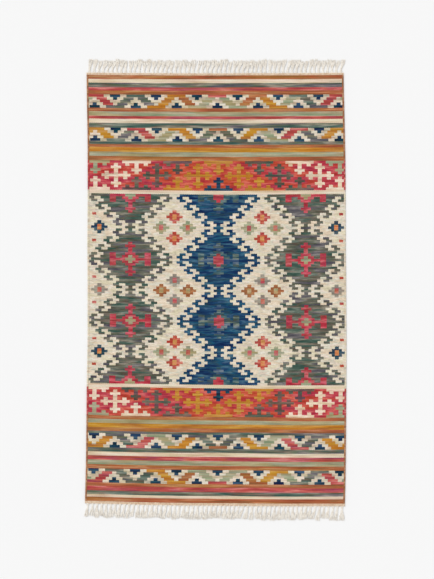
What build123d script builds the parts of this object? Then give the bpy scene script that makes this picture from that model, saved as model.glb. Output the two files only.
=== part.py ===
from build123d import *
import math
import os

# Flat-woven wool rug (kilim). X runs across the rug, Y along the warps, Z is up.
# The origin is the middle of the underside. Lengths are millimetres, and the
# pattern is counted as a weaver counts it: in warps across and in steps along.

# ---- Driving dimensions -------------------------------------------------------
RUG_WIDTH = 900.0
CLOTH_THICKNESS = 4.0
EDGE_THICKNESS = 5.0          # selvedges and heading cords stand a little proud
WARP_PITCH = 3.55             # one warp with the weft packed round it
SELVEDGE_WARPS = 2
PATTERN_SHIFT = 1             # the pattern sits one warp off the middle
STEP = 3                      # warps in one sideways step of the pattern
STEM = 2                      # half the width of a stem or a tip, in warps

# Bands from each end of the cloth towards the field, as (wool, length).
UPPER_BANDS = (
    ("rust", 14.0), ("cream", 13.3), ("slate", 15.4), ("crimson", 11.6), ("rust", 14.0),
    ("outer zigzag", 47.3),
    ("rust", 12.3), ("sage", 15.8), ("crimson", 10.5), ("cream", 14.0), ("slate", 16.8),
    ("inner zigzag", 47.3),
    ("slate", 11.2), ("rust", 10.5), ("ochre", 15.8), ("sage", 15.8), ("rust", 15.4),
    ("crosses", 103.8),
    ("cream", 13.0),
)
LOWER_BANDS = (
    ("rust", 15.1), ("cream", 9.5), ("slate", 13.3), ("crimson", 16.1), ("rust", 12.3),
    ("outer zigzag", 49.4),
    ("rust", 14.7), ("sage", 16.1), ("crimson", 15.1), ("cream", 13.7), ("slate", 14.7),
    ("inner zigzag", 49.8),
    ("slate", 8.4), ("rust", 12.6), ("ochre", 15.4), ("sage", 14.0), ("rust", 12.6),
    ("crosses", 100.6),
    ("cream", 12.0),
)
UPPER_HEADING = 7.0
LOWER_HEADING = 9.1

# The field: three repeats of a medallion, woven a little looser in the first.
REPEAT_ROWS = 24
REPEAT_ROW_LENGTHS = (9.42, 9.0, 9.1)

# Warp ends: gathered in bundles, each bundle knotted into one tassel.
BUNDLE_PITCH_WARPS = 4.5
BUNDLE_WIDTH_WARPS = 4.3
EDGE_BUNDLE_WARPS = 1.4
BUNDLE_COUNT = 55             # between the selvedges; each selvedge holds one more
BUNDLE_THICKNESS = 1.6
FRINGE_LENGTH = 51.0
TASSEL_THICKNESS = 4.0
KNOT_WIDTH = 9.5
KNOT_LENGTH = 9.0
NECK_WIDTH = 5.5
TASSEL_END_WIDTH = 10.0
TASSEL_LEAN = 2.2
TASSEL_SHORTFALL = 6.0
SELVEDGE_ROUND = 1.9
SLIVER = 0.01                 # a block cut down to less than this is left out

# ---- Worked out from them -----------------------------------------------------
SELVEDGE_WIDTH = SELVEDGE_WARPS * WARP_PITCH
PATTERN_HALF = RUG_WIDTH / 2 - SELVEDGE_WIDTH
FIELD_LENGTH = sum(REPEAT_ROWS * row for row in REPEAT_ROW_LENGTHS) + (
    REPEAT_ROW_LENGTHS[0] + REPEAT_ROW_LENGTHS[-1]
) / 2
UPPER_PANEL = sum(length for _, length in UPPER_BANDS)
LOWER_PANEL = sum(length for _, length in LOWER_BANDS)
BODY_LENGTH = UPPER_HEADING + UPPER_PANEL + FIELD_LENGTH + LOWER_PANEL + LOWER_HEADING
UPPER_END = BODY_LENGTH / 2
LOWER_END = -BODY_LENGTH / 2
UPPER_CLOTH = UPPER_END - UPPER_HEADING
LOWER_CLOTH = LOWER_END + LOWER_HEADING
FIELD_TOP = UPPER_CLOTH - UPPER_PANEL
FIELD_BOTTOM = LOWER_CLOTH + LOWER_PANEL

os.makedirs("parts", exist_ok=True)


# ---- Weaving helpers ----------------------------------------------------------
def across(warps):
    """Distance across the rug of a warp counted from the middle of the pattern."""
    place = (warps + PATTERN_SHIFT) * WARP_PITCH
    return max(-PATTERN_HALF, min(PATTERN_HALF, place))


def block(left, right, low, high):
    """One rectangle of weft: its warps left and right, and its place along Y."""
    return (across(left), across(right), min(low, high), max(low, high))


def outline(blocks):
    """The stepped face that a list of blocks covers."""
    with BuildSketch() as face:
        pieces = []
        for left, right, low, high in blocks:
            if right - left < SLIVER or high - low < SLIVER:
                continue
            with Locations(((left + right) / 2, (low + high) / 2)):
                pieces.append(Rectangle(right - left, high - low, mode=Mode.PRIVATE))
        add(pieces)
    return face.sketch


def whole_width(low, high):
    """A band from selvedge to selvedge."""
    return (-PATTERN_HALF, PATTERN_HALF, low, high)


# ---- Warps: cotton, gripped inside the weft from one fringe to the other --------
bundle_places = [
    (index - (BUNDLE_COUNT - 1) / 2) * BUNDLE_PITCH_WARPS * WARP_PITCH
    for index in range(BUNDLE_COUNT)
]
edge_bundle_place = RUG_WIDTH / 2 - SELVEDGE_WIDTH / 2

with BuildPart() as warp_bundles:
    with BuildSketch(Plane.XZ.offset(-UPPER_END)):
        with Locations(*[(place, CLOTH_THICKNESS / 2) for place in bundle_places]):
            Rectangle(BUNDLE_WIDTH_WARPS * WARP_PITCH, BUNDLE_THICKNESS)
        with Locations(
            (-edge_bundle_place, CLOTH_THICKNESS / 2),
            (edge_bundle_place, CLOTH_THICKNESS / 2),
        ):
            Rectangle(EDGE_BUNDLE_WARPS * WARP_PITCH, BUNDLE_THICKNESS)
    extrude(amount=BODY_LENGTH)
warp_bundles.part.label = "warp_bundles"
export_step(warp_bundles.part, "parts/warp_bundles.step")


def weave(label, faces, inlays=(), thickness=CLOTH_THICKNESS):
    """Weft of one wool, beaten down hard on the warps: the faces less their inlays."""
    with BuildPart() as cloth:
        with BuildSketch(Plane.XY):
            add(list(faces))
            if inlays:
                add(list(inlays), mode=Mode.SUBTRACT)
        extrude(amount=thickness)
    cloth.part.label = label
    export_step(cloth.part, f"parts/{label}.step")


# ---- Zigzag bands: cream stepped points with navy cores, a ribbon between them --
ZIGZAG_ROWS = 5
ZIGZAG_PITCH = 40
POINT_HALVES = tuple(STEM + STEP * step for step in (3, 2, 1, 0))
CORE_HALVES = tuple(STEM + STEP * step for step in (1, 0))
RIBBON_HALF = ZIGZAG_PITCH // 2 - POINT_HALVES[0]

# Ribbon wools from left to right: slope, peak, slope, valley, slope and so on.
OUTER_RIBBON = (
    "sage", "crimson", "crimson", "slate", "slate", "slate", "slate", "ochre", "ochre", "ochre",
    "rust", "sage", "sage", "crimson", "sage", "sage", "rust", "rust", "ochre", "ochre",
    "sage", "slate", "slate", "slate", "crimson", "crimson", "sage",
)
INNER_RIBBON = (
    "ochre", "ochre", "ochre", "slate", "slate", "crimson", "crimson", "sage", "sage", "ochre",
    "ochre", "slate", "slate", "rust", "slate", "slate", "ochre", "ochre", "sage", "sage",
    "crimson", "crimson", "slate", "slate", "ochre", "ochre", "ochre",
)


def zigzag(outer, inner, ribbon):
    """Blocks of one zigzag band, by wool, between its outer and inner edges."""
    row = (inner - outer) / ZIGZAG_ROWS
    blocks = {"points": [], "cores": []}
    centres = [index * ZIGZAG_PITCH // 2 for index in range(-6, 7)]
    for centre in centres:
        hangs = centre % ZIGZAG_PITCH != 0
        for kind, halves in (("points", POINT_HALVES), ("cores", CORE_HALVES)):
            for depth, half in enumerate(halves):
                first = depth if hangs else ZIGZAG_ROWS - 1 - depth
                low = outer + first * row
                blocks[kind].append(block(centre - half, centre + half, low, low + row))
    for index, wool in enumerate(ribbon):
        here = blocks.setdefault(wool, [])
        if index % 2 == 1:
            centre = centres[index // 2]
            first = ZIGZAG_ROWS - 1 if centre % ZIGZAG_PITCH else 0
            low = outer + first * row
            here.append(block(centre - RIBBON_HALF, centre + RIBBON_HALF, low, low + row))
            continue
        left = centres[0] + (index // 2 - 1) * ZIGZAG_PITCH // 2
        falls = left % ZIGZAG_PITCH == 0
        for depth in (1, 2, 3):
            inner_half = STEM + STEP * (depth - 1)
            outer_half = ZIGZAG_PITCH // 2 - POINT_HALVES[depth]
            span = (inner_half, outer_half)
            if not falls:
                span = (ZIGZAG_PITCH // 2 - outer_half, ZIGZAG_PITCH // 2 - inner_half)
            low = outer + depth * row
            here.append(block(left + span[0], left + span[1], low, low + row))
    return blocks


# ---- Cross bands: whole and half crosses with crossleted arms on a red ground ---
CROSS_ROWS = 11
CROSS_BAR = 14
CROSS_ARM = (7, 11)
CROSSLET_HALF = STEM + STEP
WHOLE_CROSSES = (
    (-100, "cream"), (-60, "slate"), (-20, "ochre"),
    (20, "ochre"), (60, "slate"), (100, "cream"),
)
OUTER_HALF_CROSSES = (
    (-120, "sage"), (-80, "cream"), (-40, "slate"), (0, "ochre"),
    (40, "slate"), (80, "cream"), (120, "sage"),
)
INNER_HALF_CROSSES = (
    (-120, "cream"), (-80, "slate"), (-40, "ochre"), (0, "navy"),
    (40, "ochre"), (80, "slate"), (120, "cream"),
)


def half_cross(centre, base, row):
    """Half a cross: its bar lies along the base line and its stem grows by row."""
    top = base + row
    near, far = CROSS_ARM
    return [
        block(centre - CROSS_BAR, centre + CROSS_BAR, base, top),
        block(centre + near, centre + far, top, top + row),
        block(centre - far, centre - near, top, top + row),
        block(centre - STEM, centre + STEM, top, base + 5 * row),
        block(centre - CROSSLET_HALF, centre + CROSSLET_HALF, base + 3 * row, base + 4 * row),
    ]


def crosses(outer, inner):
    """Blocks of one cross band, by wool."""
    row = (inner - outer) / CROSS_ROWS
    middle = (outer + inner) / 2
    blocks = {}
    for centre, wool in WHOLE_CROSSES:
        halves = half_cross(centre, middle - row / 2, row)
        halves += half_cross(centre, middle + row / 2, -row)
        blocks.setdefault(wool, []).extend(halves)
    for centre, wool in OUTER_HALF_CROSSES:
        blocks.setdefault(wool, []).extend(half_cross(centre, outer, row))
    for centre, wool in INNER_HALF_CROSSES:
        blocks.setdefault(wool, []).extend(half_cross(centre, inner, -row))
    return blocks


# ---- End panels: stripes, two zigzag bands and a cross band at each end ---------
cross_faces = {}
crimson_ribbon = []
red_grounds = {}
selvedge_marks = {}

for end, start, inwards, bands in (
    ("upper", UPPER_CLOTH, -1, UPPER_BANDS),
    ("lower", LOWER_CLOTH, 1, LOWER_BANDS),
):
    stripes = {}
    zigzags = {}
    place = start
    for wool, length in bands:
        far_side = place + inwards * length
        if wool in ("outer zigzag", "inner zigzag"):
            ribbon = OUTER_RIBBON if wool == "outer zigzag" else INNER_RIBBON
            for kind, blocks in zigzag(place, far_side, ribbon).items():
                zigzags.setdefault(kind, []).extend(blocks)
        elif wool == "crosses":
            selvedge_marks[end] = (place, far_side)
            inlays = []
            for kind, blocks in crosses(place, far_side).items():
                face = outline(blocks)
                inlays.append(face)
                cross_faces.setdefault(kind, []).append(face)
            ground = outline([whole_width(min(place, far_side), max(place, far_side))])
            red_grounds[end] = (ground, inlays)
        else:
            low, high = min(place, far_side), max(place, far_side)
            stripes.setdefault(wool, []).append(whole_width(low, high))
        place = far_side

    for wool, blocks in stripes.items():
        weave(f"{end}_{wool}_stripes", [outline(blocks)])
    core_face = outline(zigzags.pop("cores"))
    weave(f"{end}_zigzag_points", [outline(zigzags.pop("points"))], [core_face])
    weave(f"{end}_zigzag_cores", [core_face])
    crimson_ribbon.append(outline(zigzags.pop("crimson")))
    for wool, blocks in zigzags.items():
        weave(f"{end}_zigzag_{wool}_ribbon", [outline(blocks)])
    ground, inlays = red_grounds[end]
    weave(f"{end}_cross_band_ground", [ground], inlays)

weave("zigzag_crimson_ribbon", crimson_ribbon)
for wool, faces in cross_faces.items():
    weave(f"{wool}_crosses", faces)

# ---- Field: three chains of hooked medallions with flowers between them ---------
CHAIN_SPACING = 86
HOOK_BARS = (38, 31, 23, 14)  # half widths of the four hooked bars, widest first
NECK_HALF = STEM + STEP
MEDALLION_ROWS = (0, 24, 48, 72)
NECK_ROWS = (12, 36, 60)
LAST_ROW = 72


def along(row):
    """Place along Y of a row of the field, counted down from the first centre row."""
    place = FIELD_TOP - REPEAT_ROW_LENGTHS[0] / 2
    for length in REPEAT_ROW_LENGTHS:
        rows = max(0.0, min(row, REPEAT_ROWS))
        place -= rows * length
        row -= rows
    place -= row * REPEAT_ROW_LENGTHS[-1]
    return max(FIELD_BOTTOM, min(FIELD_TOP, place))


def row_block(centre, row, left, right, rows=1):
    """A block of the field, centred on a row, with its warps counted from a centre."""
    high = FIELD_TOP if row - rows / 2 < 0 else along(row - rows / 2)
    low = FIELD_BOTTOM if row + rows / 2 > LAST_ROW else along(row + rows / 2)
    return block(centre + left, centre + right, low, high)


def chain(centre):
    """A chain of medallions joined by necks, with a latch hook at each step."""
    blocks = []
    for middle in MEDALLION_ROWS:
        for depth, bar in enumerate(HOOK_BARS):
            for way in (-1, 1):
                row = middle + 3 * depth * way
                if 0 <= row <= LAST_ROW:
                    blocks.append(row_block(centre, row, -bar, bar))
                stem_row, foot_row = row + way, row + 2 * way
                if not 0 <= foot_row <= LAST_ROW:
                    continue
                body = bar - 3 * STEP
                blocks.append(row_block(centre, stem_row, -body, body))
                blocks.append(row_block(centre, foot_row, STEP - body, body - STEP))
                for side in (-1, 1):
                    stem = sorted((side * (bar - STEP), side * (bar + STEP)))
                    foot = sorted((side * (bar - 2 * STEP), side * bar))
                    blocks.append(row_block(centre, stem_row, *stem))
                    blocks.append(row_block(centre, foot_row, *foot))
    for row in NECK_ROWS:
        blocks.append(row_block(centre, row, -NECK_HALF, NECK_HALF))
    return blocks


def inner_cross(centre, steps):
    """The cross in each medallion: a stepped middle, four arms and their crosslets."""
    blocks = []
    for middle in MEDALLION_ROWS:
        for depth, half in enumerate(steps):
            for row in {middle - depth, middle + depth}:
                if 0 <= row <= LAST_ROW:
                    blocks.append(row_block(centre, row, -half, half))
        for row in {middle - 5, middle + 5}:
            if 0 <= row <= LAST_ROW:
                blocks.append(row_block(centre, row, -CROSSLET_HALF, CROSSLET_HALF))
        rows = 5 if 0 < middle < LAST_ROW else 3
        at_row = {0: 1, LAST_ROW: LAST_ROW - 1}.get(middle, middle)
        blocks.append(row_block(centre, at_row, 14, 20, rows))
        blocks.append(row_block(centre, at_row, -20, -14, rows))
    return blocks


def stepped_diamond(centre, middle, halves):
    """A small diamond: half widths from its middle row outwards."""
    blocks = []
    for depth, half in enumerate(halves):
        for row in {middle - depth, middle + depth}:
            if 0 <= row <= LAST_ROW:
                blocks.append(row_block(centre, row, -half, half))
    return blocks


slate_steps = (14, 8, 5, 2, 2, 2, 2)
taupe_steps = (14, 11, 8, 5, 2, 2, 2)
sage_middle = (5, 2)
crimson_middle = (5, 5, 2)
SIDES = (("left", -1), ("right", 1))
slate_chain = {side: outline(chain(way * CHAIN_SPACING)) for side, way in SIDES}
blue_chain = outline(chain(0))
crimson_cross = {
    side: outline(inner_cross(way * CHAIN_SPACING, slate_steps)) for side, way in SIDES
}
taupe_cross = outline(inner_cross(0, taupe_steps))


def medallion_centres(centre, halves):
    """The small diamonds in the middle of one chain's medallions."""
    blocks = []
    for row in MEDALLION_ROWS:
        blocks += stepped_diamond(centre, row, halves)
    return outline(blocks)


sage_diamonds = [medallion_centres(way * CHAIN_SPACING, sage_middle) for way in (-1, 1)]
crimson_diamonds = medallion_centres(0, crimson_middle)
for side in ("left", "right"):
    weave(f"slate_medallions_{side}", [slate_chain[side]], [crimson_cross[side]])
weave("blue_medallions", [blue_chain], [taupe_cross])
weave("crimson_medallion_crosses", crimson_cross.values(), sage_diamonds)
weave("sage_medallion_centres", sage_diamonds)
weave("taupe_medallion_crosses", [taupe_cross], [crimson_diamonds])
weave("crimson_medallion_centres", [crimson_diamonds])

# Flowers: stepped diamonds in fours at each neck, and one at each edge.
FLOWER_HALVES = (8, 5, 2)
FLOWER_PLACE = 43
FLOWER_ASIDE = 13
FLOWER_UP = 4
EDGE_FLOWER_PLACE = 116
DOT_PLACE = 121
DOT_ROWS = 7
# At each neck: wool and centre of the upper and lower flower, of the side flowers
# and of the edge flower.
FLOWER_WOOLS = (
    (("red", "ochre"), ("sage", "rose"), ("navy", "ochre")),
    (("slate", "rose"), ("rust", "sage"), ("slate", "rose")),
    (("red", "ochre"), ("sage", "rose"), ("navy", "ochre")),
)
flowers = {}
centres = {}


def flower(place, row, wools):
    """Put one flower and its two-row centre on their wools' lists."""
    petals, middle = wools
    flowers.setdefault(petals, []).extend(stepped_diamond(place, row, FLOWER_HALVES))
    centres.setdefault(middle, []).append(row_block(place, row, -STEM, STEM, 2))


for neck, (ends_wool, sides_wool, edge_wool) in zip(NECK_ROWS, FLOWER_WOOLS):
    for way in (-1, 1):
        place = way * FLOWER_PLACE
        for hand in (-1, 1):
            flower(place, neck + hand * FLOWER_UP, ends_wool)
            flower(place + hand * FLOWER_ASIDE, neck, sides_wool)
        flower(way * EDGE_FLOWER_PLACE, neck, edge_wool)

dots = outline(
    [
        row_block(way * DOT_PLACE, middle + hand * DOT_ROWS, -STEM, STEM)
        for way in (-1, 1)
        for middle in MEDALLION_ROWS
        for hand in (-1, 1)
        if 0 < middle + hand * DOT_ROWS < LAST_ROW
    ]
)
flower_faces = {wool: outline(blocks) for wool, blocks in flowers.items()}
centre_faces = {wool: outline(blocks) for wool, blocks in centres.items()}
for wool, face in flower_faces.items():
    weave(f"{wool}_flowers", [face], centre_faces.values())
for wool, face in centre_faces.items():
    weave(f"{wool}_flower_centres", [face])
weave("red_dots", [dots])

# Cream ground: what the medallions, flowers and dots leave, in four strips.
inlaid = [*slate_chain.values(), blue_chain, dots, *flower_faces.values()]
ground_strips = {
    "cream_ground_edges": [
        (-PATTERN_HALF, across(-CHAIN_SPACING), FIELD_BOTTOM, FIELD_TOP),
        (across(CHAIN_SPACING), PATTERN_HALF, FIELD_BOTTOM, FIELD_TOP),
    ],
    "cream_ground_left": [(across(-CHAIN_SPACING), across(0), FIELD_BOTTOM, FIELD_TOP)],
    "cream_ground_right": [(across(0), across(CHAIN_SPACING), FIELD_BOTTOM, FIELD_TOP)],
}
for label, strips in ground_strips.items():
    weave(label, [outline(strips)], inlaid)


# ---- Edges: selvedge cords along the sides, heading cords across the ends -------
def selvedge_run(low, high, side):
    """One length of selvedge: weft wrapped over the outermost warps."""
    with BuildPart() as run:
        with BuildSketch(Plane.XZ.offset(-high)):
            middle = side * (RUG_WIDTH - SELVEDGE_WIDTH) / 2
            with Locations((middle, EDGE_THICKNESS / 2)):
                Rectangle(SELVEDGE_WIDTH, EDGE_THICKNESS)
        extrude(amount=high - low)
        outer_edges = run.edges().filter_by(Axis.Y).group_by(Axis.X)[-1 if side > 0 else 0]
        fillet(outer_edges, SELVEDGE_ROUND)
    return run.part


upper_cross_outer, upper_cross_inner = selvedge_marks["upper"]
lower_cross_outer, lower_cross_inner = selvedge_marks["lower"]
selvedge_spans = {
    "selvedges_rust": (
        (upper_cross_outer, UPPER_CLOTH), (LOWER_CLOTH, lower_cross_outer),
    ),
    "selvedges_crimson": (
        (upper_cross_inner, upper_cross_outer), (lower_cross_outer, lower_cross_inner),
    ),
    "selvedges_cream": ((lower_cross_inner, upper_cross_inner),),
}
for label, spans in selvedge_spans.items():
    with BuildPart() as selvedges:
        for low, high in spans:
            for side in (-1, 1):
                add(selvedge_run(low, high, side))
    selvedges.part.label = label
    export_step(selvedges.part, f"parts/{label}.step")

for label, low, high in (
    ("heading_cord_upper", UPPER_CLOTH, UPPER_END),
    ("heading_cord_lower", LOWER_END, LOWER_CLOTH),
):
    cord = outline([(-RUG_WIDTH / 2, RUG_WIDTH / 2, low, high)])
    weave(label, [cord], (), EDGE_THICKNESS)

# ---- Fringe: each warp bundle knotted against the heading and left to hang ------
for label, end, outwards in (("fringe_upper", UPPER_END, 1), ("fringe_lower", LOWER_END, -1)):
    with BuildPart() as fringe:
        for index, place in enumerate([-edge_bundle_place, *bundle_places, edge_bundle_place]):
            lean = TASSEL_LEAN * math.sin(2.4 * index + outwards)
            drop = TASSEL_SHORTFALL * math.sin(1.7 * index) ** 2
            tip = end + outwards * (FRINGE_LENGTH - drop)
            knot = end + outwards * KNOT_LENGTH
            with BuildSketch():
                with BuildLine():
                    Polyline(
                        (place - KNOT_WIDTH / 2, end),
                        (place - KNOT_WIDTH / 2, (end + knot) / 2),
                        (place - NECK_WIDTH / 2, knot),
                        (place + lean - TASSEL_END_WIDTH / 2, tip),
                        (place + lean + TASSEL_END_WIDTH / 2, tip),
                        (place + NECK_WIDTH / 2, knot),
                        (place + KNOT_WIDTH / 2, (end + knot) / 2),
                        (place + KNOT_WIDTH / 2, end),
                        close=True,
                    )
                make_face()
            extrude(amount=TASSEL_THICKNESS)
    fringe.part.label = label
    export_step(fringe.part, f"parts/{label}.step")

print("body", round(BODY_LENGTH, 1), "overall", round(BODY_LENGTH + 2 * FRINGE_LENGTH, 1))
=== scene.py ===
import bpy
import numpy as np
from math import pi, radians
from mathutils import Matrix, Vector
from mathutils.bvhtree import BVHTree


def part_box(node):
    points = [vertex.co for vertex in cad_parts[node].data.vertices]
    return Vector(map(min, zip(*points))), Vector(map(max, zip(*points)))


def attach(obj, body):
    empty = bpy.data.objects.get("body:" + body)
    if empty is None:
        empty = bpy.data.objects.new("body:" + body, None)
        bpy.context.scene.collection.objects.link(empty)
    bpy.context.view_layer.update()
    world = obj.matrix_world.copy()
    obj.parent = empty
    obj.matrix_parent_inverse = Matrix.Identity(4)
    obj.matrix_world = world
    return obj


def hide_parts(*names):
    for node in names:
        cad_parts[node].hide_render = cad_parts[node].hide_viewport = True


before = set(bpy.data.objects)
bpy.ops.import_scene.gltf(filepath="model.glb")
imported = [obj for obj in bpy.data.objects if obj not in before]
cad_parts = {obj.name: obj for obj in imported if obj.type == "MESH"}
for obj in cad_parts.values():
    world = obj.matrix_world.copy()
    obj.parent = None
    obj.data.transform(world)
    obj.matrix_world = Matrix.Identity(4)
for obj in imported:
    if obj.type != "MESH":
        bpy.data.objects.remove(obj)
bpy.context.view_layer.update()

# ==== Cotton warps =============================================================
# Some 250 undyed cotton warps lie side by side from end to end inside the wool and
# carry the whole cloth. They are wound on the loom first, and come out at both ends
# as the fringe, so they are the sheet that everything else is woven on to.
warp_pitch = 0.00355
warp_low, warp_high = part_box("warp_bundles")
cloth_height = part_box("blue_medallions")[1].z
ripple = 0.0024              # how far a weft or an edge strays from straight
lift = 0.0030                # how far a hollow stands off the floor
bow = 0.0034                 # how far the bands sag between the two sides
skew = 0.0055                # how far the lower end slants at each side
settle = 0.0025              # how far each end has drawn in along the warps
widen = 0.0039               # how far each side has relaxed outwards at mid length
taper = 0.0026               # and how much further at the lower end than at mid length
one_sided = 0.0031           # how much more the left side has relaxed, and how much less the right
bend = 0.0062                # how far both sides curve across, from the ends to mid length


def put(tree, kind, inputs=None, **settings):
    """A node; each of its inputs is a number, a colour or another node's socket."""
    made = tree.nodes.new(kind)
    for name, value in settings.items():
        setattr(made, name, value)
    for key, value in (inputs or {}).items():
        if isinstance(value, bpy.types.NodeSocket):
            tree.links.new(value, made.inputs[key])
        else:
            made.inputs[key].default_value = value
    return made


def reckon(tree, operation, *values):
    """One step of arithmetic on numbers or sockets."""
    return put(tree, "ShaderNodeMath", dict(enumerate(values)), operation=operation).outputs[0]


def chain(tree, start, *steps):
    """Several steps of arithmetic, each on the result of the one before."""
    for operation, *values in steps:
        start = reckon(tree, operation, start, *values)
    return start


def vector(tree, x=0.0, y=0.0, z=0.0):
    return put(tree, "ShaderNodeCombineXYZ", {0: x, 1: y, 2: z}).outputs[0]


def parts(tree, place):
    return put(tree, "ShaderNodeSeparateXYZ", {0: place}).outputs


def geometry_tree(name, *sizes):
    """A Geometry Nodes tree with a number input for each size, and one for its finish."""
    tree = bpy.data.node_groups.new(name, "GeometryNodeTree")
    tree.interface.new_socket("Geometry", in_out="INPUT", socket_type="NodeSocketGeometry")
    for size in sizes:
        tree.interface.new_socket(size, in_out="INPUT", socket_type="NodeSocketFloat")
    tree.interface.new_socket("Finish", in_out="INPUT", socket_type="NodeSocketMaterial")
    tree.interface.new_socket("Geometry", in_out="OUTPUT", socket_type="NodeSocketGeometry")
    return tree, put(tree, "NodeGroupInput").outputs


def out_of_true(tree, x, y):
    """How far a hand-woven rug is from the rectangle it was warped to, across and along."""
    u = reckon(tree, "DIVIDE", x, warp_high.x)
    v = reckon(tree, "DIVIDE", y, warp_high.y)
    uu = reckon(tree, "MULTIPLY", u, u)
    vv = reckon(tree, "MULTIPLY", v, v)
    spread = reckon(tree, "MULTIPLY", u, chain(tree, v, ("MULTIPLY", -taper), ("ADD", widen)))
    curve = chain(tree, vv, ("SUBTRACT", 0.5), ("MULTIPLY", -bend))
    uneven = reckon(tree, "MULTIPLY", uu, -one_sided)
    slant = reckon(tree, "MULTIPLY", u, chain(tree, v, ("SUBTRACT", 1.0), ("MULTIPLY", skew / 2)))
    sag = chain(tree, uu, ("SUBTRACT", 1 / 3), ("MULTIPLY", bow))
    drawn = reckon(tree, "MULTIPLY", v, -settle)
    across = reckon(tree, "ADD", reckon(tree, "ADD", spread, curve), uneven)
    return across, reckon(tree, "ADD", reckon(tree, "ADD", slant, sag), drawn)


def lay_down(tree, shape, finish):
    """Ends a tree: the shape takes the soft ripple of a rug on a floor, and its finish."""
    here = put(tree, "GeometryNodeInputPosition").outputs[0]
    kept = put(tree, "GeometryNodeStoreNamedAttribute", {0: shape, "Name": "weave", "Value": here},
               data_type="FLOAT_VECTOR", domain="POINT").outputs[0]
    x, y, _ = parts(tree, here)
    wander = []
    for scale_x, scale_y, seed in ((2.6, 3.4, 1.7), (0.5, 3.1, 5.2), (3.2, 2.3, 9.4)):
        spot = vector(tree, reckon(tree, "MULTIPLY", x, scale_x), reckon(tree, "MULTIPLY", y, scale_y), seed)
        noise = put(tree, "ShaderNodeTexNoise", {"Vector": spot, "Scale": 1.0, "Detail": 1.0}).outputs[0]
        wander.append(reckon(tree, "SUBTRACT", noise, 0.5))
    across, along = out_of_true(tree, x, y)
    move = vector(
        tree,
        reckon(tree, "MULTIPLY_ADD", wander[1], 2 * ripple, across),
        reckon(tree, "MULTIPLY_ADD", wander[0], 2 * ripple, along),
        chain(tree, wander[2], ("MAXIMUM", 0.0), ("MULTIPLY", 2 * lift)),
    )
    moved = put(tree, "GeometryNodeSetPosition", {0: kept, "Offset": move}).outputs[0]
    whole = put(tree, "GeometryNodeRealizeInstances", {0: moved}).outputs[0]
    done = put(tree, "GeometryNodeSetMaterial", {0: whole, "Material": finish}).outputs[0]
    tree.links.new(done, put(tree, "NodeGroupOutput").inputs[0])


def make(name, mesh, tree, finish, **sizes):
    """The plain mesh that a tree makes of a start mesh, as an object at the origin."""
    start = bpy.data.objects.new(name + "_start", mesh)
    bpy.context.scene.collection.objects.link(start)
    modifier = start.modifiers.new("make", "NODES")
    modifier.node_group = tree
    for item in tree.interface.items_tree:
        if item.in_out == "INPUT" and item.name in sizes:
            modifier[item.identifier] = sizes[item.name]
        if item.in_out == "INPUT" and item.name == "Finish":
            modifier[item.identifier] = finish
    evaluated = start.evaluated_get(bpy.context.evaluated_depsgraph_get())
    result = bpy.data.meshes.new_from_object(evaluated)
    start.modifiers.remove(modifier)
    bpy.data.objects.remove(start)
    result.name = name
    result.materials.clear()
    result.materials.append(finish)
    result.shade_smooth()
    result.set_sharp_from_angle(angle=radians(50))
    piece = bpy.data.objects.new(name, result)
    bpy.context.scene.collection.objects.link(piece)
    return piece


def dye(colour):
    """A colour as the shader wants it, from six hexadecimal digits."""
    levels = [int(colour[at:at + 2], 16) / 255 for at in (0, 2, 4)]
    return [c / 12.92 if c <= 0.04045 else ((c + 0.055) / 1.055) ** 2.4 for c in levels] + [1.0]


def cotton(name, light, dark, twist):
    """Undyed plied cotton, matt, with faint flecks and the slant of its twist."""
    material = bpy.data.materials.new(name)
    material.use_nodes = True
    tree = material.node_tree
    surface = tree.nodes["Principled BSDF"]
    place = put(tree, "ShaderNodeAttribute", attribute_name="weave").outputs["Vector"]
    x, y, z = parts(tree, place)
    tone = put(tree, "ShaderNodeTexNoise", {"Vector": place, "Scale": 140.0, "Detail": 4.0}).outputs[0]
    slant = chain(tree, x, ("ADD", y), ("ADD", z), ("MULTIPLY", 2 * pi / twist), ("SINE",))
    colour = put(tree, "ShaderNodeValToRGB", {0: tone})
    colour.color_ramp.elements[0].position = 0.3
    colour.color_ramp.elements[0].color = dye(dark)
    colour.color_ramp.elements[1].position = 0.62
    colour.color_ramp.elements[1].color = dye(light)
    tree.links.new(colour.outputs[0], surface.inputs["Base Color"])
    relief = reckon(tree, "ADD", reckon(tree, "MULTIPLY", slant, 0.35), tone)
    bump = put(tree, "ShaderNodeBump", {"Strength": 0.55, "Distance": 0.0006, "Height": relief})
    tree.links.new(bump.outputs[0], surface.inputs["Normal"])
    surface.inputs["Roughness"].default_value = 0.9
    surface.inputs["Specular IOR Level"].default_value = 0.2
    surface.inputs["Sheen Weight"].default_value = 0.15
    surface.inputs["Sheen Roughness"].default_value = 0.6
    return material


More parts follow.
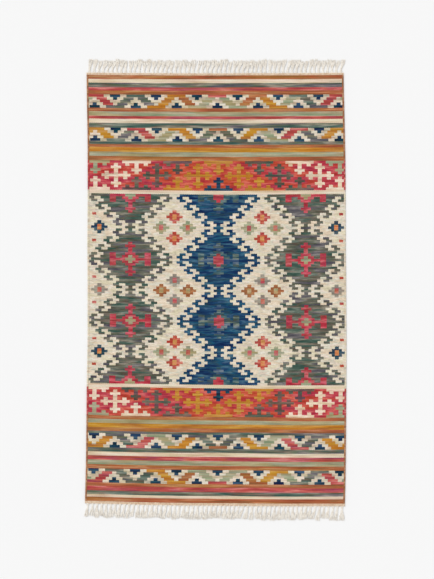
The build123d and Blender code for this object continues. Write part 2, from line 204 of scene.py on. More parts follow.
def net(across, along, low, high, own=None):
    """A closed flat slab of quads: lines across and along, and which cells it fills."""
    if own is None:
        own = np.ones((len(along) - 1, len(across) - 1), bool)
    rows, columns = len(along), len(across)
    row, column = np.nonzero(own)

    def corner(up, right, top):
        return (top * rows + row + up) * columns + column + right

    around = [(0, 0), (0, 1), (1, 1), (1, 0)]
    faces = [
        np.stack([corner(up, right, 1) for up, right in around], 1),
        np.stack([corner(up, right, 0) for up, right in reversed(around)], 1),
    ]
    padded = np.pad(own, 1)
    for (up, right), (next_up, next_right), (beyond_row, beyond_column) in (
        ((0, 0), (0, 1), (-1, 0)),
        ((0, 1), (1, 1), (0, 1)),
        ((1, 1), (1, 0), (1, 0)),
        ((1, 0), (0, 0), (0, -1)),
    ):
        edge = ~padded[row + 1 + beyond_row, column + 1 + beyond_column]
        wall = (
            corner(up, right, 0), corner(next_up, next_right, 0),
            corner(next_up, next_right, 1), corner(up, right, 1),
        )
        faces.append(np.stack(wall, 1)[edge])
    faces = np.concatenate(faces)
    used, faces = np.unique(faces, return_inverse=True)
    faces = faces.reshape(-1, 4)
    level, rest = np.divmod(used, rows * columns)
    points = np.stack([
        np.asarray(across)[rest % columns],
        np.asarray(along)[rest // columns],
        np.where(level == 1, high, low),
    ], 1)
    mesh = bpy.data.meshes.new("slab")
    mesh.vertices.add(len(points))
    mesh.vertices.foreach_set("co", points.astype(np.float32).ravel())
    mesh.loops.add(faces.size)
    mesh.loops.foreach_set("vertex_index", faces.astype(np.int32).ravel())
    mesh.polygons.add(len(faces))
    mesh.polygons.foreach_set("loop_start", np.arange(0, faces.size, 4, dtype=np.int32))
    mesh.update(calc_edges=True)
    return mesh


# The tree rounds a flat slab into ribs, one over each warp, on its top and underside.
# Along the weft's edges the beats over and under alternate warps make small teeth.
rib_tree, rib_in = geometry_tree("Ribs over the warps", "Pitch", "Middle", "Depth", "Teeth")
rib_x, _, rib_z = parts(rib_tree, put(rib_tree, "GeometryNodeInputPosition").outputs[0])
swing = reckon(
    rib_tree, "SINE", reckon(rib_tree, "MULTIPLY", reckon(rib_tree, "DIVIDE", rib_x, rib_in["Pitch"]), pi)
)
hollow = reckon(rib_tree, "SUBTRACT", 1.0, reckon(rib_tree, "ABSOLUTE", swing))
sink = chain(rib_tree, hollow, ("MULTIPLY", rib_in["Depth"]), ("DIVIDE", rib_in["Middle"]))
rib_lower = reckon(
    rib_tree, "MULTIPLY", reckon(rib_tree, "SUBTRACT", rib_in["Middle"], rib_z), sink
)
rib_move = vector(rib_tree, 0.0, reckon(rib_tree, "MULTIPLY", swing, rib_in["Teeth"]), rib_lower)
ribbed = put(
    rib_tree, "GeometryNodeSetPosition", {0: rib_in["Geometry"], "Offset": rib_move}
).outputs[0]
lay_down(rib_tree, ribbed, rib_in["Finish"])

warp_cotton = cotton("warp cotton", "f9f4eb", "e6ddd0", 0.0021)
cloth_width = warp_high.x - warp_low.x
shoulders = 4                # steps in the round of one rib
warp_lines = np.arange(warp_low.x + warp_pitch / 4, warp_high.x, warp_pitch / shoulders)
warp_row_count = 45
warp_depth = 0.0011          # how deep the groove between two warps is
warp_rows = np.linspace(warp_low.y, warp_high.y, warp_row_count)
warps = make(
    "cotton_warps", net(warp_lines, warp_rows, warp_low.z, warp_high.z), rib_tree, warp_cotton,
    Pitch=warp_pitch, Middle=(warp_low.z + warp_high.z) / 2, Depth=warp_depth, Teeth=0.0,
)
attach(warps, "root")
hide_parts("warp_bundles")

# ==== Wool weft: how it is laid ================================================
# Every coloured area is its own wool, passed over and under the warps and beaten down
# until no cotton shows, so the cloth is flat, ribbed and the same on both faces. Each
# colour turns back at the edge of its own area and meets the next one there.
rib_depth = 0.00042
tooth = 0.0004
pick_pitch = 0.0013          # one pass of weft, beaten down
longest_row = 0.0105
darkest_noise = 0.40         # the noise that gives a wool's first shade
lightest_noise = 0.60        # and the noise that gives its last
edging = ("fringe", "heading", "selvedges", "warp")
cloth_nodes = [name for name in sorted(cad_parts) if not name.startswith(edging)]
pattern_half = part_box("cream_ground_edges")[1].x
corners, triangles, belongs = [], [], []
for number, name in enumerate(cloth_nodes):
    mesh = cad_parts[name].data
    mesh.calc_loop_triangles()
    first = len(corners)
    corners.extend(v.co.copy() for v in mesh.vertices)
    triangles.extend([first + v for v in t.vertices] for t in mesh.loop_triangles)
    belongs.extend([number] * len(mesh.loop_triangles))
cloth_map = BVHTree.FromPolygons(corners, triangles)
row_lines = np.unique(np.round([c.y for c in corners], 5))
row_lines = row_lines[np.append(True, np.diff(row_lines) > 0.0002)]
weft_rows = [row_lines[0]]
for line in row_lines[1:]:
    steps = int(np.ceil((line - weft_rows[-1]) / longest_row))
    weft_rows.extend(np.linspace(weft_rows[-1], line, steps + 1)[1:])
half_count = int(pattern_half / warp_pitch)
valleys = np.arange(-half_count, half_count + 1) * warp_pitch
valleys = np.concatenate([[-pattern_half], valleys, [pattern_half]])
weft_columns = np.concatenate([np.linspace(a, b, shoulders + 1)[:-1] for a, b in zip(valleys, valleys[1:])])
weft_columns = np.append(weft_columns, pattern_half)
cloth_cells = np.full((len(weft_rows) - 1, len(valleys) - 1), -1)
down = Vector((0, 0, -1))
for row, (low, high) in enumerate(zip(weft_rows, weft_rows[1:])):
    for column, (left, right) in enumerate(zip(valleys, valleys[1:])):
        above = Vector(((left + right) / 2, (low + high) / 2, 1.0))
        hit = cloth_map.ray_cast(above, down)[2]
        if hit is not None:
            cloth_cells[row, column] = belongs[hit]
cloth_cells = np.repeat(cloth_cells, shoulders, axis=1)


def weave(node, finish):
    """One area of wool in the place of its CAD node."""
    own = cloth_cells == cloth_nodes.index(node)
    slab = net(weft_columns, weft_rows, 0.0, cloth_height, own)
    piece = make(
        "woven_" + node, slab, rib_tree, finish,
        Pitch=warp_pitch, Middle=cloth_height / 2, Depth=rib_depth, Teeth=tooth,
    )
    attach(piece, "root")
    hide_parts(node)


def ramp(tree, fac, colours):
    """Colours spread evenly from 0 to 1."""
    made = put(tree, "ShaderNodeValToRGB", {0: fac})
    stops = made.color_ramp.elements
    while len(stops) < len(colours):
        stops.new(0.5)
    for index, colour in enumerate(colours):
        stops[index].position = index / (len(colours) - 1)
        stops[index].color = dye(colour)
    return made.outputs[0]


def streaks(tree, x, y, scale_x, scale_y, seed):
    """A number from 0 to 1 that changes slowly across the rug and quickly along it."""
    spot = vector(tree, reckon(tree, "MULTIPLY", x, scale_x), reckon(tree, "MULTIPLY", y, scale_y), seed)
    noise = put(tree, "ShaderNodeTexNoise", {"Vector": spot, "Scale": 1.0, "Detail": 1.0}).outputs[0]
    return put(tree, "ShaderNodeMapRange", {0: noise, 1: darkest_noise, 2: lightest_noise}).outputs[0]


def wool(name, lot, shades, hues, run=14.0, hue_share=0.42, fleck=0.10, mottle=0.3, inward=0.0):
    """Hand-spun, unevenly dyed wool: dark and light shades come and go in short streaks
    along the weft, and so do its hues. Run is how many streaks there are to a metre, and
    inward is how far the hues go from the first at the sides to the last in the middle."""
    material = bpy.data.materials.new(name)
    material.use_nodes = True
    tree = material.node_tree
    surface = tree.nodes["Principled BSDF"]
    place = put(tree, "ShaderNodeAttribute", attribute_name="weave").outputs["Vector"]
    x, y, _ = parts(tree, place)
    warp = reckon(tree, "DIVIDE", x, warp_pitch)
    column = reckon(tree, "FLOOR", warp)
    half_step = chain(tree, column, ("MODULO", 2.0), ("ABSOLUTE",), ("MULTIPLY", 0.5))
    pick = reckon(tree, "ADD", reckon(tree, "DIVIDE", y, pick_pitch), half_step)
    over_warp = chain(tree, warp, ("MULTIPLY", pi), ("SINE",), ("ABSOLUTE",))
    over_pick = chain(tree, pick, ("MULTIPLY", pi), ("SINE",), ("ABSOLUTE",))
    bead = reckon(tree, "POWER", reckon(tree, "MULTIPLY", over_warp, over_pick), 0.6)
    long_run = streaks(tree, x, y, run, 85.0, lot)
    short_run = streaks(tree, x, y, 3.2 * run, 190.0, lot + 3.1)
    tone = reckon(tree, "MULTIPLY_ADD", short_run, mottle, reckon(tree, "MULTIPLY", long_run, 1 - mottle))
    hue_at = streaks(tree, x, y, 0.8 * run, 75.0, lot + 7.7)
    if inward:
        from_side = chain(
            tree, x, ("ABSOLUTE",), ("DIVIDE", -warp_high.x), ("ADD", 1.0), ("MULTIPLY", inward)
        )
        hue_at = reckon(tree, "MULTIPLY_ADD", hue_at, 1 - inward, from_side)
    hue = ramp(tree, hue_at, hues)
    colour = put(
        tree, "ShaderNodeMix", {"Factor": hue_share, 6: ramp(tree, tone, shades), 7: hue}, data_type="RGBA"
    ).outputs[2]
    stitch = vector(tree, column, reckon(tree, "FLOOR", pick), lot)
    odd = put(tree, "ShaderNodeTexWhiteNoise", {0: stitch}, noise_dimensions="3D").outputs[0]
    fibre = put(tree, "ShaderNodeTexNoise", {"Vector": place, "Scale": 900.0, "Detail": 3.0}).outputs[0]
    flecks_and_painted_shade = chain(tree, odd, ("SUBTRACT", 0.5), ("MULTIPLY", 2 * fleck), ("ADD", 1.0))
    # Painted shade: the colour is made darker where a bead is low, in the hollows between warps and between
    # picks; the flecks and fibre noise are the wool's own uneven tone.
    flecks_and_painted_shade = reckon(tree, "MULTIPLY", flecks_and_painted_shade, chain(tree, bead, ("MULTIPLY", 0.18), ("ADD", 0.89)))
    flecks_and_painted_shade = reckon(tree, "MULTIPLY", flecks_and_painted_shade, chain(tree, fibre, ("MULTIPLY", 0.24), ("ADD", 0.88)))
    grey = put(tree, "ShaderNodeCombineColor", {0: flecks_and_painted_shade, 1: flecks_and_painted_shade, 2: flecks_and_painted_shade}).outputs[0]
    colour = put(
        tree, "ShaderNodeMix", {"Factor": 1.0, 6: colour, 7: grey}, data_type="RGBA", blend_type="MULTIPLY"
    ).outputs[2]
    tree.links.new(colour, surface.inputs["Base Color"])
    relief = reckon(tree, "ADD", bead, reckon(tree, "MULTIPLY", fibre, 0.35))
    bump = put(tree, "ShaderNodeBump", {"Strength": 0.5, "Distance": 0.0005, "Height": relief})
    tree.links.new(bump.outputs[0], surface.inputs["Normal"])
    surface.inputs["Roughness"].default_value = 0.92
    surface.inputs["Specular IOR Level"].default_value = 0.15
    surface.inputs["Sheen Weight"].default_value = 0.06
    surface.inputs["Sheen Roughness"].default_value = 0.5
    return material


# ==== Rust wool stripes ========================================================
# Terracotta wool with olive and orange streaks. It opens or closes every set of
# stripes at both ends, each stripe straight from selvedge to selvedge.
rust_wool = wool(
    "rust wool", 1.0,
    ("78442a", "9e5e3c", "b06e48", "cc9a70"),
    ("a87834", "c05a30", "8c6c44", "b8583c"),
    run=5.0,
)
weave("upper_rust_stripes", rust_wool)
weave("lower_rust_stripes", rust_wool)

# ==== Cream wool stripes =======================================================
# Undyed ivory wool. Two thin stripes at each end, and one that frames the field.
cream_wool = wool(
    "cream wool", 2.0,
    ("bc9a80", "dac4aa", "e6d4bc", "f4e8d6"),
    ("dccaa0", "ecc8b4", "d8d0b4"),
    run=6.0, fleck=0.05,
)
weave("upper_cream_stripes", cream_wool)
weave("lower_cream_stripes", cream_wool)

# ==== Slate wool stripes =======================================================
# Dark grey-green wool spun from several dye lots, so teal, moss and purple-grey runs
# lie beside each other in every stripe.
slate_wool = wool(
    "slate wool", 3.0,
    ("2e3630", "565c52", "767468", "b0a898"),
    ("3c6e64", "86685a", "64805c", "74687a"),
    run=7.0,
)
weave("upper_slate_stripes", slate_wool)
weave("lower_slate_stripes", slate_wool)

# ==== Crimson wool stripes =====================================================
# Madder-red wool with rose and brick runs, in two narrow stripes at each end. Each is
# woven straight across between two other wools.
crimson_wool = wool(
    "crimson wool", 4.0,
    ("782c2c", "a84844", "c0605a", "e49a90"),
    ("c04048", "c86c44", "a44c70", "c8544c"),
    run=6.0,
)
weave("upper_crimson_stripes", crimson_wool)
weave("lower_crimson_stripes", crimson_wool)

# ==== Sage and ochre wool stripes ==============================================
# Pale grey-green wool, and golden ochre wool with brown runs. Each end of the rug has
# two stripes of sage and one of ochre.
sage_wool = wool(
    "sage wool", 5.0,
    ("7c7860", "9a9474", "a8a286", "c2bc9e"),
    ("84a482", "b49c7c", "98aa98", "b09c64"),
    run=6.0, fleck=0.07,
)
weave("upper_sage_stripes", sage_wool)
weave("lower_sage_stripes", sage_wool)
ochre_wool = wool(
    "ochre wool", 6.0,
    ("985620", "b87a2c", "c48a38", "d4a85c"),
    ("cc8420", "ae7448", "c89828"),
    run=6.0, fleck=0.08,
)
weave("upper_ochre_stripes", ochre_wool)
weave("lower_ochre_stripes", ochre_wool)

# ==== Zigzag bands =============================================================
# Two bands at each end: stepped cream points from both sides with a small dark core,
# and a ribbon zigzagging between them that changes wool about every half turn.
point_cream = wool(
    "point cream wool", 2.5,
    ("988876", "ccbca4", "e2d4be", "fcf2e4"),
    ("d0c49c", "dcbca8", "c8c8b4"),
    fleck=0.06,
)
for end in ("upper", "lower"):
    weave(end + "_zigzag_points", point_cream)
    weave(end + "_zigzag_rust_ribbon", rust_wool)
    weave(end + "_zigzag_slate_ribbon", slate_wool)
    weave(end + "_zigzag_sage_ribbon", sage_wool)
    weave(end + "_zigzag_ochre_ribbon", ochre_wool)
weave("zigzag_crimson_ribbon", crimson_wool)
core_navy = wool(
    "core navy wool", 7.0,
    ("060c18", "1a2c44", "2e4a60", "587688"),
    ("14204c", "0c5460", "14182c", "2c4c70"),
    run=8.0, hue_share=0.6,
)
weave("upper_zigzag_cores", core_navy)
weave("lower_zigzag_cores", core_navy)

# ==== Cross bands ==============================================================
# Between the stripes and the field: a red ground with stepped crosses in five wools.
# The ground is streaked with crimson, rose and orange.
ground_red = wool(
    "cross band red wool", 8.0,
    ("761c20", "ac3e3a", "c05650", "e48c7c"),
    ("c4284c", "bc3c5c", "c83c38", "d0542c", "d8642c"),
    run=14.0, hue_share=0.5, inward=0.5,
)
weave("upper_cross_band_ground", ground_red)
weave("lower_cross_band_ground", ground_red)
cross_cream = wool(
    "cross cream wool", 2.8,
    ("bc907c", "dcc2aa", "e8d4be", "faeee0"),
    ("e4cca0", "f0c0ac", "dcd4b8"),
    fleck=0.06,
)
weave("cream_crosses", cross_cream)
cross_slate = wool(
    "cross slate wool", 3.4,
    ("2c2a26", "504840", "6c5e50", "94806c"),
    ("3c685c", "785c48", "805468"),
    run=12.0,
)
weave("slate_crosses", cross_slate)
weave("sage_crosses", sage_wool)
weave("ochre_crosses", ochre_wool)
weave("navy_crosses", core_navy)

# ==== Field ground =============================================================
# Undyed ivory wool, woven in short rows round the medallions, so it has more nubs and
# faint biscuit and grey patches than the stripes.
field_cream = wool(
    "field cream wool", 9.0,
    ("b4ac9c", "d6ccb6", "e2d8c4", "f4eee0"),
    ("e0d4ac", "eaccc0", "ccd4c2", "ecceae"),
    run=24.0, fleck=0.08, mottle=0.45,
)
for side in ("edges", "left", "right"):
    weave("cream_ground_" + side, field_cream)

# ==== Medallions ===============================================================
# Three chains of hooked medallions down the field: blue in the middle, slate at each
# side. The blue wool runs from navy to mid blue in bands; the slate has moss streaks.
medallion_blue = wool(
    "medallion blue wool", 10.0,
    ("061430", "143856", "204c6a", "587c90"),
    ("04205c", "146484", "385458", "0c3468"),
    run=13.0,
)
weave("blue_medallions", medallion_blue)
medallion_slate = wool(
    "medallion slate wool", 11.0,
    ("262a26", "52564e", "6c6b62", "a09c90"),
    ("34685a", "806658", "5c6c4c", "685e70"),
    run=12.0,
)
weave("slate_medallions_left", medallion_slate)
weave("slate_medallions_right", medallion_slate)

# ==== Crosses in the medallions ================================================
# Each medallion holds a cross with crosslets: crimson on slate, taupe on blue, with a
# small sage or crimson diamond at its middle.
cross_crimson = wool(
    "medallion cross crimson wool", 12.0,
    ("6c1c24", "a43c40", "be5056", "e08088"),
    ("cc2c48", "a0584c", "c03c5c"),
)
weave("crimson_medallion_crosses", cross_crimson)
weave("crimson_medallion_centres", cross_crimson)
weave("sage_medallion_centres", sage_wool)
taupe_wool = wool(
    "taupe wool", 13.0,
    ("001c34", "30485a", "526468", "9ca49a"),
    ("3c5888", "68704c", "24606c"),
    run=12.0,
)
weave("taupe_medallion_crosses", taupe_wool)

# ==== Flowers and dots in the field ============================================
# Small stepped diamonds in fours and in a column at each side, each with a centre of
# another wool, and single red dots beside the selvedges.
flower_red = wool(
    "flower red wool", 14.0,
    ("80261e", "aa443a", "be6454", "e6a498"),
    ("c8442c", "cc6c48", "b84c54"),
    run=20.0,
)
flower_rust = wool(
    "flower rust wool", 15.0,
    ("70402a", "94603e", "a46e4a", "c08c60"),
    ("ac6434", "986844", "b06440"),
    run=20.0,
)
flower_grey = wool(
    "flower grey wool", 15.5,
    ("7c6e62", "90837a", "9c9484", "b4ae9c"),
    ("8c8c7c", "9c8478", "8a8c84"),
    run=20.0,
)
flower_navy = wool(
    "flower navy wool", 15.8,
    ("0c1c2c", "223a4c", "384e5c", "6c7c7c"),
    ("143c64", "28545c", "343c50"),
    run=20.0,
)
centre_ochre = wool(
    "flower centre ochre wool", 16.3,
    ("a0643c", "c48450", "d49c68", "e4bc90"),
    ("dc7048", "ccaa5c", "d87c50"),
    run=20.0, hue_share=0.55,
)
centre_rose = wool(
    "flower centre rose wool", 16.6,
    ("843c40", "a85854", "bc706c", "d49c94"),
    ("c44458", "c4703c", "b45c64"),
    run=20.0, hue_share=0.55,
)
centre_sage = wool(
    "flower centre sage wool", 16.9,
    ("8c7c5c", "a89870", "bca884", "d4c4a4"),
    ("9ca47c", "c89c5c", "b49468"),
    run=20.0, hue_share=0.5,
)
for node, finish, wool_slot in (
    ("red_flowers", flower_red, "red_wool"),
    ("red_dots", flower_red, "red_wool"),
    ("rust_flowers", flower_rust, "rust_wool"),
    ("sage_flowers", sage_wool, "sage_wool"),
    ("slate_flowers", flower_grey, "slate_wool"),
    ("navy_flowers", flower_navy, "navy_wool"),
    ("rose_flower_centres", centre_rose, "rose_wool"),
    ("ochre_flower_centres", centre_ochre, "ochre_wool"),
    ("sage_flower_centres", centre_sage, "sage_wool"),
):
    weave(node, finish)

# ==== Selvedges ================================================================
# At each side the weft wraps the two outermost warps into a firm round edge, in the
# wool of the rows beside it, so the edge changes colour along its length.
wrap_pitch = 0.0024
edge_overlap = 0.0003        # how far the wrapping reaches over the cloth and past its edge
edge_swell = 0.12            # how much of its girth comes and goes with each turn
wrap_tree, wrap_in = geometry_tree("Wrapped edge", "Wrap", "Half width", "Half height", "Swell")
edge_line = put(wrap_tree, "GeometryNodeMeshToCurve", {0: wrap_in["Geometry"]}).outputs[0]
edge_turns = put(
    wrap_tree, "GeometryNodeResampleCurve",
    {0: edge_line, "Length": reckon(wrap_tree, "DIVIDE", wrap_in["Wrap"], 4.0)}, mode="LENGTH",
).outputs[0]
along_edge = put(wrap_tree, "GeometryNodeSplineParameter").outputs["Length"]
swell = chain(
    wrap_tree, reckon(wrap_tree, "DIVIDE", along_edge, wrap_in["Wrap"]),
    ("MULTIPLY", pi), ("SINE",), ("ABSOLUTE",), ("MULTIPLY", wrap_in["Swell"]),
)
girth = reckon(wrap_tree, "ADD", reckon(wrap_tree, "SUBTRACT", 1.0, wrap_in["Swell"]), swell)
ring = put(wrap_tree, "GeometryNodeCurvePrimitiveCircle", {"Resolution": 10, "Radius": 1.0}).outputs[0]
ring_x, ring_y, _ = parts(wrap_tree, put(wrap_tree, "GeometryNodeInputPosition").outputs[0])
oval = put(
    wrap_tree, "GeometryNodeSetPosition",
    {0: ring, "Position": vector(
        wrap_tree,
        reckon(wrap_tree, "MULTIPLY", ring_x, wrap_in["Half width"]),
        reckon(wrap_tree, "MULTIPLY", ring_y, wrap_in["Half height"]),
    )},
).outputs[0]
cuff = put(
    wrap_tree, "GeometryNodeCurveToMesh",
    {0: edge_turns, "Profile Curve": oval, "Scale": girth, "Fill Caps": True},
).outputs[0]
lay_down(wrap_tree, cuff, wrap_in["Finish"])

selvedge_rust = wool(
    "selvedge rust wool", 16.0,
    ("7c5038", "a06c4c", "b88660", "d0a684"),
    ("a87048", "a87c64", "a47450"),
    run=12.0,
)
edge_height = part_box("selvedges_rust")[1].z
for node, finish, wool_slot in (
    ("selvedges_rust", selvedge_rust, "rust_wool"),
    ("selvedges_crimson", crimson_wool, "crimson_wool"),
    ("selvedges_cream", field_cream, "cream_wool"),
):
    line_points, line_edges = [], []
    for way in (-1, 1):
        heights = [v.co.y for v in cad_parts[node].data.vertices if v.co.x * way > 0]
        ends = np.unique(np.round(heights, 5))
        for low, high in zip(ends[::2], ends[1::2]):
            middle = way * (pattern_half + warp_high.x) / 2
            line_edges.append((len(line_points), len(line_points) + 1))
            line_points.extend([(middle, low, edge_height / 2), (middle, high, edge_height / 2)])
    line_mesh = bpy.data.meshes.new("edge lines")
    line_mesh.from_pydata(line_points, line_edges, [])
    edge = make(
        "wrapped_" + node, line_mesh, wrap_tree, finish,
        **{"Wrap": wrap_pitch, "Half width": (warp_high.x - pattern_half) / 2 + edge_overlap,
           "Half height": edge_height / 2, "Swell": edge_swell},
    )
    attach(edge, "root")
    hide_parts(node)

# ==== Heading cords ============================================================
# Three plied cotton cords are twined across the warps at each end, and lock the last
# row of wool before the warps are knotted.
cord_turn = 0.0062           # one full turn of the two plies
cord_squash = 1.12           # how far the cords are pressed into one another
cord_least = 0.42            # the least radius of a cord, as a share of the heading's height
cord_inset = 0.001
cord_tree, cord_in = geometry_tree("Plied cord", "Radius", "Turn")
cord_line = put(cord_tree, "GeometryNodeMeshToCurve", {0: cord_in["Geometry"]}).outputs[0]
cord_line = put(
    cord_tree, "GeometryNodeResampleCurve",
    {0: cord_line, "Length": reckon(cord_tree, "DIVIDE", cord_in["Turn"], 6.0)}, mode="LENGTH",
).outputs[0]
cord_along = put(cord_tree, "GeometryNodeSplineParameter").outputs["Length"]
cord_tilt = chain(cord_tree, cord_along, ("DIVIDE", cord_in["Turn"]), ("MULTIPLY", pi))
cord_line = put(cord_tree, "GeometryNodeSetCurveTilt", {0: cord_line, "Tilt": cord_tilt}).outputs[0]
ply_ring = put(cord_tree, "GeometryNodeCurvePrimitiveCircle", {"Resolution": 12, "Radius": 1.0}).outputs[0]
ply_place = put(cord_tree, "GeometryNodeInputPosition").outputs[0]
ply_x, ply_y, _ = parts(cord_tree, ply_place)
lobe = chain(cord_tree, reckon(cord_tree, "ABSOLUTE", ply_x), ("MULTIPLY", 0.45), ("ADD", 0.58))
ply_size = reckon(cord_tree, "MULTIPLY", lobe, cord_in["Radius"])
two_ply = put(
    cord_tree, "GeometryNodeSetPosition",
    {0: ply_ring, "Position": vector(
        cord_tree,
        reckon(cord_tree, "MULTIPLY", ply_x, ply_size),
        reckon(cord_tree, "MULTIPLY", ply_y, ply_size),
    )},
).outputs[0]
twined = put(
    cord_tree, "GeometryNodeCurveToMesh", {0: cord_line, "Profile Curve": two_ply, "Fill Caps": True}
).outputs[0]
lay_down(cord_tree, twined, cord_in["Finish"])

heading_cotton = cotton("heading cotton", "f2dcc2", "dcba9a", 0.0017)
for end in ("upper", "lower"):
    low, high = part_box("heading_cord_" + end)
    cord_radius = (high.y - low.y) / 6
    strand_points = []
    for strand in (1, 3, 5):
        for x in (low.x + cord_inset, high.x - cord_inset):
            strand_points.append((x, low.y + strand * cord_radius, high.z / 2))
    strand_mesh = bpy.data.meshes.new("cord lines")
    strand_mesh.from_pydata(strand_points, [(0, 1), (2, 3), (4, 5)], [])
    heading = make(
        "twined_heading_" + end, strand_mesh, cord_tree, heading_cotton,
        **{"Radius": max(cord_radius * cord_squash, high.z * cord_least), "Turn": cord_turn},
    )
    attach(heading, "root")
    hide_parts("heading_cord_" + end)

# ==== Fringe ===================================================================
# Past the heading the warps are gathered four or five at a time, knotted close to the
# cloth and left loose, so each tassel leans, spreads and frays in its own way.
tassels = 57
yarns = 14                   # the plies of a tassel's four or five warps, combed apart
fringe_tree, fringe_in = geometry_tree(
    "Knotted fringe", "Tassels", "Yarns", "Pitch", "Length", "Start", "Way", "Middle", "Seed"
)


def chance(tree, low, high, thing, seed):
    """A number for each thing, the same on every run."""
    made = put(tree, "FunctionNodeRandomValue", {2: low, 3: high, "ID": thing}, data_type="FLOAT")
    tree.links.new(reckon(tree, "ADD", fringe_in["Seed"], float(seed)), made.inputs["Seed"])
    return made.outputs[1]


def ease(tree, value, start, end):
    """0 before start, 1 after end, and smooth between them."""
    return put(
        tree, "ShaderNodeMapRange", {0: value, 1: start, 2: end}, interpolation_type="SMOOTHSTEP"
    ).outputs[0]


def blend(tree, share, a, b):
    return reckon(tree, "ADD", a, reckon(tree, "MULTIPLY", share, reckon(tree, "SUBTRACT", b, a)))


knot_at = 0.0105             # how far out the knot's far end is
yarn_radius = 0.00105
hidden = 0.004               # how much of a yarn is inside the heading
shortest_tassel = 0.86       # as a share of the longest
neck = 0.0017                # half the width of a tassel at its knot
narrow_end = 0.0058          # and at its loose end, from this
wide_end = 0.0084            # to this
combing = 0.036              # how strongly neighbouring tassels are brushed the same way
own_lean = 0.0018            # how far a tassel leans on its own
own_stray = 0.0028           # how far a yarn strays from its place
bending = 0.005              # how far it wanders on its way out
settled = 0.03               # how far out the yarns have come down on the floor
lowest_layer = -0.0009
highest_layer = 0.0013
resting_height = 0.0023
t = fringe_tree
yarn_line = put(t, "GeometryNodeCurvePrimitiveLine", {"Start": (0, 0, 0), "End": (0, 1, 0)}).outputs[0]
yarn_line = put(t, "GeometryNodeResampleCurve", {0: yarn_line, "Count": 11}).outputs[0]
yarn_total = reckon(t, "MULTIPLY", fringe_in["Tassels"], fringe_in["Yarns"])
copies = put(
    t, "GeometryNodeDuplicateElements", {0: yarn_line, "Amount": yarn_total}, domain="SPLINE"
)
yarn_number = copies.outputs["Duplicate Index"]
tassel_number = chain(t, yarn_number, ("ADD", 0.5), ("DIVIDE", fringe_in["Yarns"]), ("FLOOR",))
yarns_before = reckon(t, "MULTIPLY", tassel_number, fringe_in["Yarns"])
strand_number = reckon(t, "SUBTRACT", yarn_number, yarns_before)
spread = chain(
    t, reckon(t, "DIVIDE", strand_number, reckon(t, "SUBTRACT", fringe_in["Yarns"], 1.0)),
    ("MULTIPLY", 2.0), ("SUBTRACT", 1.0),
)
tassel_length = reckon(t, "MULTIPLY", fringe_in["Length"], chance(t, shortest_tassel, 1.0, tassel_number, 1))
yarn_length = reckon(t, "MULTIPLY", tassel_length, chance(t, 0.93, 1.02, yarn_number, 2))
share = put(t, "GeometryNodeSplineParameter").outputs["Factor"]
reach = reckon(t, "MULTIPLY", share, yarn_length)
past_knot = ease(t, reach, knot_at, yarn_length)
gathered = ease(t, reach, 0.0, knot_at)
width = blend(t, gathered, reckon(t, "MULTIPLY", fringe_in["Pitch"], 0.42), neck)
width = blend(t, past_knot, width, chance(t, narrow_end, wide_end, tassel_number, 3))
comb_place = vector(t, reckon(t, "MULTIPLY", tassel_number, 0.17), fringe_in["Seed"])
combed = put(t, "ShaderNodeTexNoise", {"Vector": comb_place, "Scale": 1.0, "Detail": 1.0}).outputs[0]
slope = chain(t, combed, ("SUBTRACT", 0.36), ("MULTIPLY", combing), ("MULTIPLY", fringe_in["Way"]))
slope = reckon(t, "ADD", slope, chance(t, -own_lean, own_lean, tassel_number, 4))
lean = reckon(t, "MULTIPLY", slope, past_knot)
stray = reckon(t, "MULTIPLY", chance(t, -own_stray, own_stray, yarn_number, 5), past_knot)
bend_place = vector(
    t, reckon(t, "MULTIPLY", reach, 70.0), reckon(t, "MULTIPLY", yarn_number, 3.7), fringe_in["Seed"]
)
wriggle = put(t, "ShaderNodeTexNoise", {"Vector": bend_place, "Scale": 1.0, "Detail": 1.0}).outputs[0]
come_down = ease(t, reach, knot_at, settled)
wriggle = chain(t, wriggle, ("SUBTRACT", 0.5), ("MULTIPLY", bending), ("MULTIPLY", come_down))
middle_tassel = chain(t, fringe_in["Tassels"], ("SUBTRACT", 1.0), ("DIVIDE", 2.0))
column = chain(t, tassel_number, ("SUBTRACT", middle_tassel), ("MULTIPLY", fringe_in["Pitch"]))
sideways = column
for part in (reckon(t, "MULTIPLY", spread, width), lean, stray, wriggle):
    sideways = reckon(t, "ADD", sideways, part)
layer = chance(t, lowest_layer, highest_layer, yarn_number, 6)
high_up = reckon(t, "ADD", fringe_in["Middle"], reckon(t, "MULTIPLY", layer, gathered))
resting = chain(t, layer, ("MULTIPLY", 0.8), ("ADD", resting_height))
height = blend(t, come_down, high_up, resting)
outward = chain(t, reach, ("SUBTRACT", hidden), ("MULTIPLY", fringe_in["Way"]), ("ADD", fringe_in["Start"]))
placed = put(
    t, "GeometryNodeSetPosition", {0: copies.outputs[0], "Position": vector(t, sideways, outward, height)}
).outputs[0]
thin_end = chain(t, ease(t, share, 0.8, 1.0), ("MULTIPLY", -0.45), ("ADD", 1.0), ("MULTIPLY", yarn_radius))
yarn_ring = put(t, "GeometryNodeCurvePrimitiveCircle", {"Resolution": 5, "Radius": 1.0}).outputs[0]
loose = put(
    t, "GeometryNodeCurveToMesh",
    {0: placed, "Profile Curve": yarn_ring, "Scale": thin_end, "Fill Caps": True},
).outputs[0]

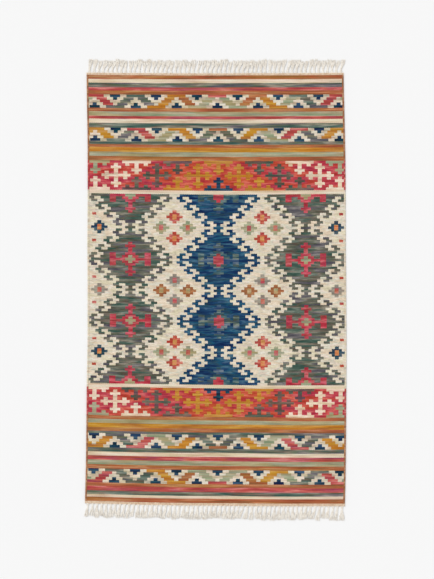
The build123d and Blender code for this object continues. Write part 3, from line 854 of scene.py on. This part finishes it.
coil = put(
    t, "GeometryNodeCurveSpiral",
    {"Resolution": 7, "Rotations": 2.6, "Start Radius": 0.0026, "End Radius": 0.0030, "Height": 0.0052},
).outputs[0]
knot_ring = put(t, "GeometryNodeCurvePrimitiveCircle", {"Resolution": 6, "Radius": 1.0}).outputs[0]
knot = put(
    t, "GeometryNodeCurveToMesh",
    {0: coil, "Profile Curve": knot_ring, "Scale": 0.00115, "Fill Caps": True},
).outputs[0]
knot = put(
    t, "GeometryNodeTransform", {0: knot, "Rotation": (-pi / 2, 0, 0), "Scale": (1.15, 0.48, 1.0)}
).outputs[0]
index = put(t, "GeometryNodeInputIndex").outputs[0]
knot_x = chain(t, index, ("SUBTRACT", middle_tassel), ("MULTIPLY", fringe_in["Pitch"]))
knot_y = chain(
    t, chance(t, -0.0012, 0.0018, index, 7),
    ("ADD", knot_at - 0.007), ("MULTIPLY", fringe_in["Way"]), ("ADD", fringe_in["Start"]),
)
knot_place = vector(t, knot_x, knot_y, fringe_in["Middle"])
knot_places = put(
    t, "GeometryNodePoints", {"Count": fringe_in["Tassels"], "Position": knot_place}
).outputs[0]
knot_turn = vector(t, 0.0, 0.0, chance(t, -0.35, 0.35, index, 8))
knots = put(
    t, "GeometryNodeInstanceOnPoints", {0: knot_places, "Instance": knot, "Rotation": knot_turn}
).outputs[0]
knots = put(t, "GeometryNodeRealizeInstances", {0: knots}).outputs[0]
gather = put(t, "GeometryNodeJoinGeometry")
t.links.new(loose, gather.inputs[0])
t.links.new(knots, gather.inputs[0])
lay_down(t, gather.outputs[0], fringe_in["Finish"])

nothing = bpy.data.meshes.new("no start")
for end, way, seed in (("upper", 1, 20), ("lower", -1, 40)):
    low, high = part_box("fringe_" + end)
    start = low.y if way > 0 else high.y
    fringe = make(
        "knotted_fringe_" + end, nothing.copy(), fringe_tree, warp_cotton,
        **{"Tassels": float(tassels), "Yarns": float(yarns), "Pitch": (cloth_width - 0.004) / tassels,
           "Length": high.y - low.y + hidden, "Start": start, "Way": float(way), "Middle": cloth_height / 2,
           "Seed": float(seed)},
    )
    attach(fringe, "root")
    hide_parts("fringe_" + end)

# ==== Floor, light and camera ==================================================
# A plain pale studio floor under the rug, even soft light from all round with a little
# more from one side, and a camera straight above.
floor_size = 30.0
floor_mesh = bpy.data.meshes.new("studio_floor")
floor_corners = [(x * floor_size, y * floor_size, 0.0) for x, y in ((-1, -1), (1, -1), (1, 1), (-1, 1))]
floor_mesh.from_pydata(floor_corners, [], [(0, 1, 2, 3)])
floor = bpy.data.objects.new("studio_floor", floor_mesh)
bpy.context.scene.collection.objects.link(floor)
floor_paint = bpy.data.materials.new("studio floor paint")
floor_paint.use_nodes = True
floor_tree = floor_paint.node_tree
floor_place = put(floor_tree, "ShaderNodeTexCoord").outputs["Object"]
floor_tone = put(floor_tree, "ShaderNodeTexNoise", {"Vector": floor_place, "Scale": 0.8}).outputs[0]
floor_surface = floor_tree.nodes["Principled BSDF"]
floor_colour = ramp(floor_tree, floor_tone, ("f7f7f7", "f8f8f8"))
floor_tree.links.new(floor_colour, floor_surface.inputs["Base Color"])
floor_surface.inputs["Roughness"].default_value = 0.9
floor_surface.inputs["Specular IOR Level"].default_value = 0.1
floor_mesh.materials.append(floor_paint)

scene = bpy.context.scene
sky = 0.70                   # share of the light that comes from all round
scene.world = bpy.data.worlds.new("studio")
scene.world.use_nodes = True
scene.world.node_tree.nodes["Background"].inputs["Color"].default_value = (1.0, 1.0, 1.0, 1.0)
scene.world.node_tree.nodes["Background"].inputs["Strength"].default_value = sky
scene.view_settings.view_transform = "Standard"
lamp_place = Vector((-0.62, 0.50, 1.0))
lamp_data = bpy.data.lights.new("soft box", "SUN")
lamp_data.angle = radians(35)
lamp_data.energy = (1 - sky) * pi * lamp_place.length / lamp_place.z
lamp = bpy.data.objects.new("soft box", lamp_data)
lamp.rotation_euler = (-lamp_place).to_track_quat("-Z", "Y").to_euler()
scene.collection.objects.link(lamp)

lens = 85.0
film = 36.0
framed_height = 2.030        # the height of floor that the picture takes in
camera_data = bpy.data.cameras.new("camera")
camera_data.lens = lens
camera_data.sensor_width = film
camera_data.clip_end = 50.0
camera = bpy.data.objects.new("camera", camera_data)
camera.location = (0.0003, -0.0004, framed_height * lens / film)
scene.collection.objects.link(camera)
scene.camera = camera
